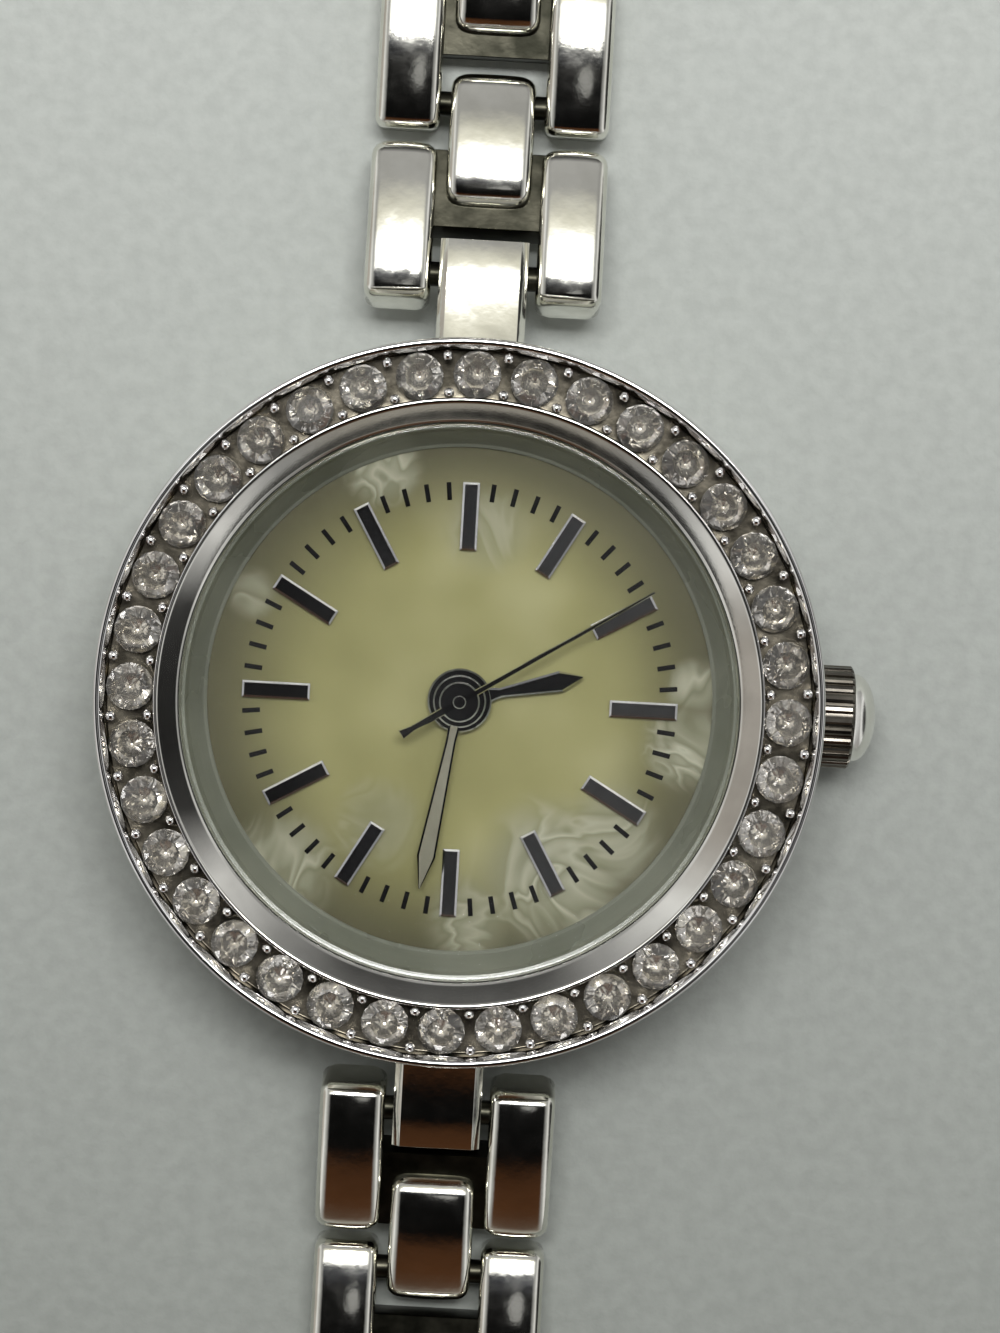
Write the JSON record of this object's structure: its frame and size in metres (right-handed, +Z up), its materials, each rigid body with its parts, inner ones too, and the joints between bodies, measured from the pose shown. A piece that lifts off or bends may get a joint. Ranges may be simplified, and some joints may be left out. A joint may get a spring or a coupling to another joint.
{
  "type": "bracelet watch",
  "caption": "Round quartz bracelet watch with a stone-set bezel, cast link strap and fold-over clasp, laid open and flat.",
  "frame": {"origin": "middle of the case back's flat outer face, on the table", "axes": "+Z up through the dial, +Y towards twelve o'clock along the strap, +X towards three o'clock and the crown"},
  "size_m": [0.0282, 0.1626, 0.0075],
  "materials": {
    "polished_metal": "polished rhodium plate",
    "steel_back": "brushed steel",
    "clear_stone": "faceted clear stone",
    "crystal_glass": "clear mineral glass",
    "seal_rubber": "matte",
    "rehaut_plastic": "grey-green satin ring",
    "pearl_dial": "pearl cream lacquer",
    "bright_trim": "bright applied trim",
    "hand_steel": "polished dark",
    "holder_plastic": "moulded",
    "movement_brass": "gilt",
    "movement_steel": "steel",
    "cell_steel": "nickel plate",
    "board_laminate": "green laminate",
    "coil_copper": "varnished copper wire"
  },
  "bodies": {
    "root": {"case_body": "polished_metal", "caseback": "steel_back", "caseback_gasket": "seal_rubber", "bezel": "polished_metal", "bezel_stones": "clear_stone", "crystal": "crystal_glass", "rehaut_ring": "rehaut_plastic", "dial": "pearl_dial", "hour_markers": "bright_trim", "movement_holder": "holder_plastic", "main_plate": "movement_brass", "train_bridge": "movement_brass", "movement_screws": "movement_steel", "battery": "cell_steel", "battery_contact": "movement_steel", "circuit_board": "board_laminate", "coil": "coil_copper", "stator": "movement_steel", "crown_tube": "movement_steel"},
    "second": {"second_wheel": "movement_brass", "second_hand": "hand_steel"},
    "minute": {"centre_wheel": "movement_brass", "cannon_pinion": "movement_brass", "minute_hand": "hand_steel"},
    "hour": {"hour_wheel": "movement_brass", "hour_hand": "hand_steel"},
    "third": {"third_wheel": "movement_brass"},
    "minute_work": {"minute_wheel": "movement_brass"},
    "setting": {"setting_wheel": "movement_brass"},
    "intermediate": {"intermediate_wheel": "movement_brass"},
    "rotor": {"rotor": "movement_steel"},
    "crown_slide": {"crown_gasket": "seal_rubber"},
    "crown": {"crown": "polished_metal", "stem": "movement_steel"},
    "lever": {"setting_lever": "movement_steel"},
    "yoke": {"yoke": "movement_steel"},
    "sliding_pinion": {"sliding_pinion": "movement_steel"},
    "upper_link_1": {"upper_link_1": "polished_metal"},
    "upper_link_2": {"upper_link_2": "polished_metal"},
    "upper_link_3": {"upper_link_3": "polished_metal"},
    "upper_link_4": {"upper_link_4": "polished_metal"},
    "upper_link_5": {"upper_link_5": "polished_metal"},
    "upper_link_6": {"upper_link_6": "polished_metal"},
    "upper_link_7": {"upper_link_7": "polished_metal"},
    "upper_link_8": {"upper_link_8": "polished_metal"},
    "upper_link_9": {"upper_link_9": "polished_metal"},
    "clasp_catch": {"clasp_catch": "polished_metal"},
    "lower_link_1": {"lower_link_1": "polished_metal"},
    "lower_link_2": {"lower_link_2": "polished_metal"},
    "lower_link_3": {"lower_link_3": "polished_metal"},
    "lower_link_4": {"lower_link_4": "polished_metal"},
    "lower_link_5": {"lower_link_5": "polished_metal"},
    "lower_link_6": {"lower_link_6": "polished_metal"},
    "lower_link_7": {"lower_link_7": "polished_metal"},
    "lower_link_8": {"lower_link_8": "polished_metal"},
    "lower_link_9": {"lower_link_9": "polished_metal"},
    "clasp_base": {"clasp_base": "polished_metal"},
    "clasp_cover": {"clasp_cover": "polished_metal"}
  },
  "joints": [
    {"name": "upper_pin_1", "type": "hinge", "parent": "root", "child": "upper_link_1", "pos_m": [0, 0.01525, 0.003], "axis": [-1, 0, 0], "range_deg": [-32.36, 5.64]},
    {"name": "upper_pin_2", "type": "hinge", "parent": "upper_link_1", "child": "upper_link_2", "pos_m": [0, 0.0215, 0.0014], "axis": [-1, 0, 0], "range_deg": [-3.64, 34.36]},
    {"name": "upper_pin_3", "type": "hinge", "parent": "upper_link_2", "child": "upper_link_3", "pos_m": [0, 0.02795, 0.0014], "axis": [-1, 0, 0], "range_deg": [-18, 20]},
    {"name": "upper_pin_4", "type": "hinge", "parent": "upper_link_3", "child": "upper_link_4", "pos_m": [0, 0.0344, 0.0014], "axis": [-1, 0, 0], "range_deg": [-18, 20]},
    {"name": "upper_pin_5", "type": "hinge", "parent": "upper_link_4", "child": "upper_link_5", "pos_m": [0, 0.04085, 0.0014], "axis": [-1, 0, 0], "range_deg": [-18, 20]},
    {"name": "upper_pin_6", "type": "hinge", "parent": "upper_link_5", "child": "upper_link_6", "pos_m": [0, 0.0473, 0.0014], "axis": [-1, 0, 0], "range_deg": [-18, 20]},
    {"name": "upper_pin_7", "type": "hinge", "parent": "upper_link_6", "child": "upper_link_7", "pos_m": [0, 0.05375, 0.0014], "axis": [-1, 0, 0], "range_deg": [-18, 20]},
    {"name": "upper_pin_8", "type": "hinge", "parent": "upper_link_7", "child": "upper_link_8", "pos_m": [0, 0.0602, 0.0014], "axis": [-1, 0, 0], "range_deg": [-18, 20]},
    {"name": "upper_pin_9", "type": "hinge", "parent": "upper_link_8", "child": "upper_link_9", "pos_m": [0, 0.06665, 0.0014], "axis": [-1, 0, 0], "range_deg": [-18, 20]},
    {"name": "catch_pin", "type": "hinge", "parent": "upper_link_9", "child": "clasp_catch", "pos_m": [0, 0.0731, 0.0014], "axis": [-1, 0, 0], "range_deg": [-18, 20]},
    {"name": "lower_pin_1", "type": "hinge", "parent": "root", "child": "lower_link_1", "pos_m": [0, -0.01525, 0.003], "axis": [1, 0, 0], "range_deg": [-32.36, 5.64]},
    {"name": "lower_pin_2", "type": "hinge", "parent": "lower_link_1", "child": "lower_link_2", "pos_m": [0, -0.0215, 0.0014], "axis": [1, 0, 0], "range_deg": [-3.64, 34.36]},
    {"name": "lower_pin_3", "type": "hinge", "parent": "lower_link_2", "child": "lower_link_3", "pos_m": [0, -0.02795, 0.0014], "axis": [1, 0, 0], "range_deg": [-18, 20]},
    {"name": "lower_pin_4", "type": "hinge", "parent": "lower_link_3", "child": "lower_link_4", "pos_m": [0, -0.0344, 0.0014], "axis": [1, 0, 0], "range_deg": [-18, 20]},
    {"name": "lower_pin_5", "type": "hinge", "parent": "lower_link_4", "child": "lower_link_5", "pos_m": [0, -0.04085, 0.0014], "axis": [1, 0, 0], "range_deg": [-18, 20]},
    {"name": "lower_pin_6", "type": "hinge", "parent": "lower_link_5", "child": "lower_link_6", "pos_m": [0, -0.0473, 0.0014], "axis": [1, 0, 0], "range_deg": [-18, 20]},
    {"name": "lower_pin_7", "type": "hinge", "parent": "lower_link_6", "child": "lower_link_7", "pos_m": [0, -0.05375, 0.0014], "axis": [1, 0, 0], "range_deg": [-18, 20]},
    {"name": "lower_pin_8", "type": "hinge", "parent": "lower_link_7", "child": "lower_link_8", "pos_m": [0, -0.0602, 0.0014], "axis": [1, 0, 0], "range_deg": [-18, 20]},
    {"name": "lower_pin_9", "type": "hinge", "parent": "lower_link_8", "child": "lower_link_9", "pos_m": [0, -0.06665, 0.0014], "axis": [1, 0, 0], "range_deg": [-18, 20]},
    {"name": "clasp_pin", "type": "hinge", "parent": "lower_link_9", "child": "clasp_base", "pos_m": [0, -0.0731, 0.0014], "axis": [1, 0, 0], "range_deg": [-18, 20]},
    {"name": "cover_hinge", "type": "hinge", "parent": "clasp_base", "child": "clasp_cover", "pos_m": [0, -0.08545, 0.00105], "axis": [1, 0, 0], "range_deg": [0, 150]},
    {"name": "second_spin", "type": "hinge", "parent": "root", "child": "second", "pos_m": [0, 0, 0.0016], "axis": [0, 0, -1], "continuous": true},
    {"name": "minute_spin", "type": "hinge", "parent": "root", "child": "minute", "pos_m": [0, 0, 0.00235], "axis": [0, 0, -1], "continuous": true},
    {"name": "hour_spin", "type": "hinge", "parent": "root", "child": "hour", "pos_m": [0, 0, 0.00395], "axis": [0, 0, -1], "continuous": true},
    {"name": "third_spin", "type": "hinge", "parent": "root", "child": "third", "pos_m": [0, 0.00272, 0.00195], "axis": [0, 0, -1], "continuous": true},
    {"name": "minute_work_spin", "type": "hinge", "parent": "root", "child": "minute_work", "pos_m": [0.0018, 0, 0.0036], "axis": [0, 0, -1], "continuous": true},
    {"name": "setting_spin", "type": "hinge", "parent": "root", "child": "setting", "pos_m": [0.00405, 0, 0.0036], "axis": [0, 0, -1], "continuous": true},
    {"name": "intermediate_spin", "type": "hinge", "parent": "root", "child": "intermediate", "pos_m": [0.00165, -0.00139, 0.002], "axis": [0, 0, -1], "continuous": true},
    {"name": "rotor_spin", "type": "hinge", "parent": "root", "child": "rotor", "pos_m": [0.0026, -0.00303, 0.0024], "axis": [0, 0, -1], "continuous": true},
    {"name": "crown_pull", "type": "slide", "parent": "root", "child": "crown_slide", "axis": [1, 0, 0], "range_m": [0, 0.0007]},
    {"name": "crown_spin", "type": "hinge", "parent": "crown_slide", "child": "crown", "pos_m": [0.0126, 0, 0.0029], "axis": [1, 0, 0], "continuous": true},
    {"name": "lever_swing", "type": "hinge", "parent": "root", "child": "lever", "pos_m": [0.0075, 0.0028, 0.00215], "axis": [0, 0, 1], "range_deg": [-0.01, 16.51]},
    {"name": "yoke_slide", "type": "slide", "parent": "root", "child": "yoke", "axis": [-1, 0, 0], "range_m": [-0.000001, 0.000421]},
    {"name": "pinion_spin", "type": "hinge", "parent": "yoke", "child": "sliding_pinion", "pos_m": [0.00575, 0, 0.0029], "axis": [1, 0, 0], "continuous": true}
  ],
  "couplings": [
    {"joint": "minute_spin", "follows": "second_spin", "ratio": 0.016667},
    {"joint": "hour_spin", "follows": "second_spin", "ratio": 0.0013889},
    {"joint": "third_spin", "follows": "second_spin", "ratio": -0.13333},
    {"joint": "minute_work_spin", "follows": "second_spin", "ratio": -0.0055556},
    {"joint": "setting_spin", "follows": "second_spin", "ratio": 0.0083333},
    {"joint": "intermediate_spin", "follows": "second_spin", "ratio": -5},
    {"joint": "rotor_spin", "follows": "second_spin", "ratio": 30},
    {"joint": "lever_swing", "follows": "crown_pull", "rad_per_m": 411.25},
    {"joint": "yoke_slide", "follows": "crown_pull", "ratio": 0.6},
    {"joint": "pinion_spin", "follows": "crown_spin", "ratio": 1}
  ]
}
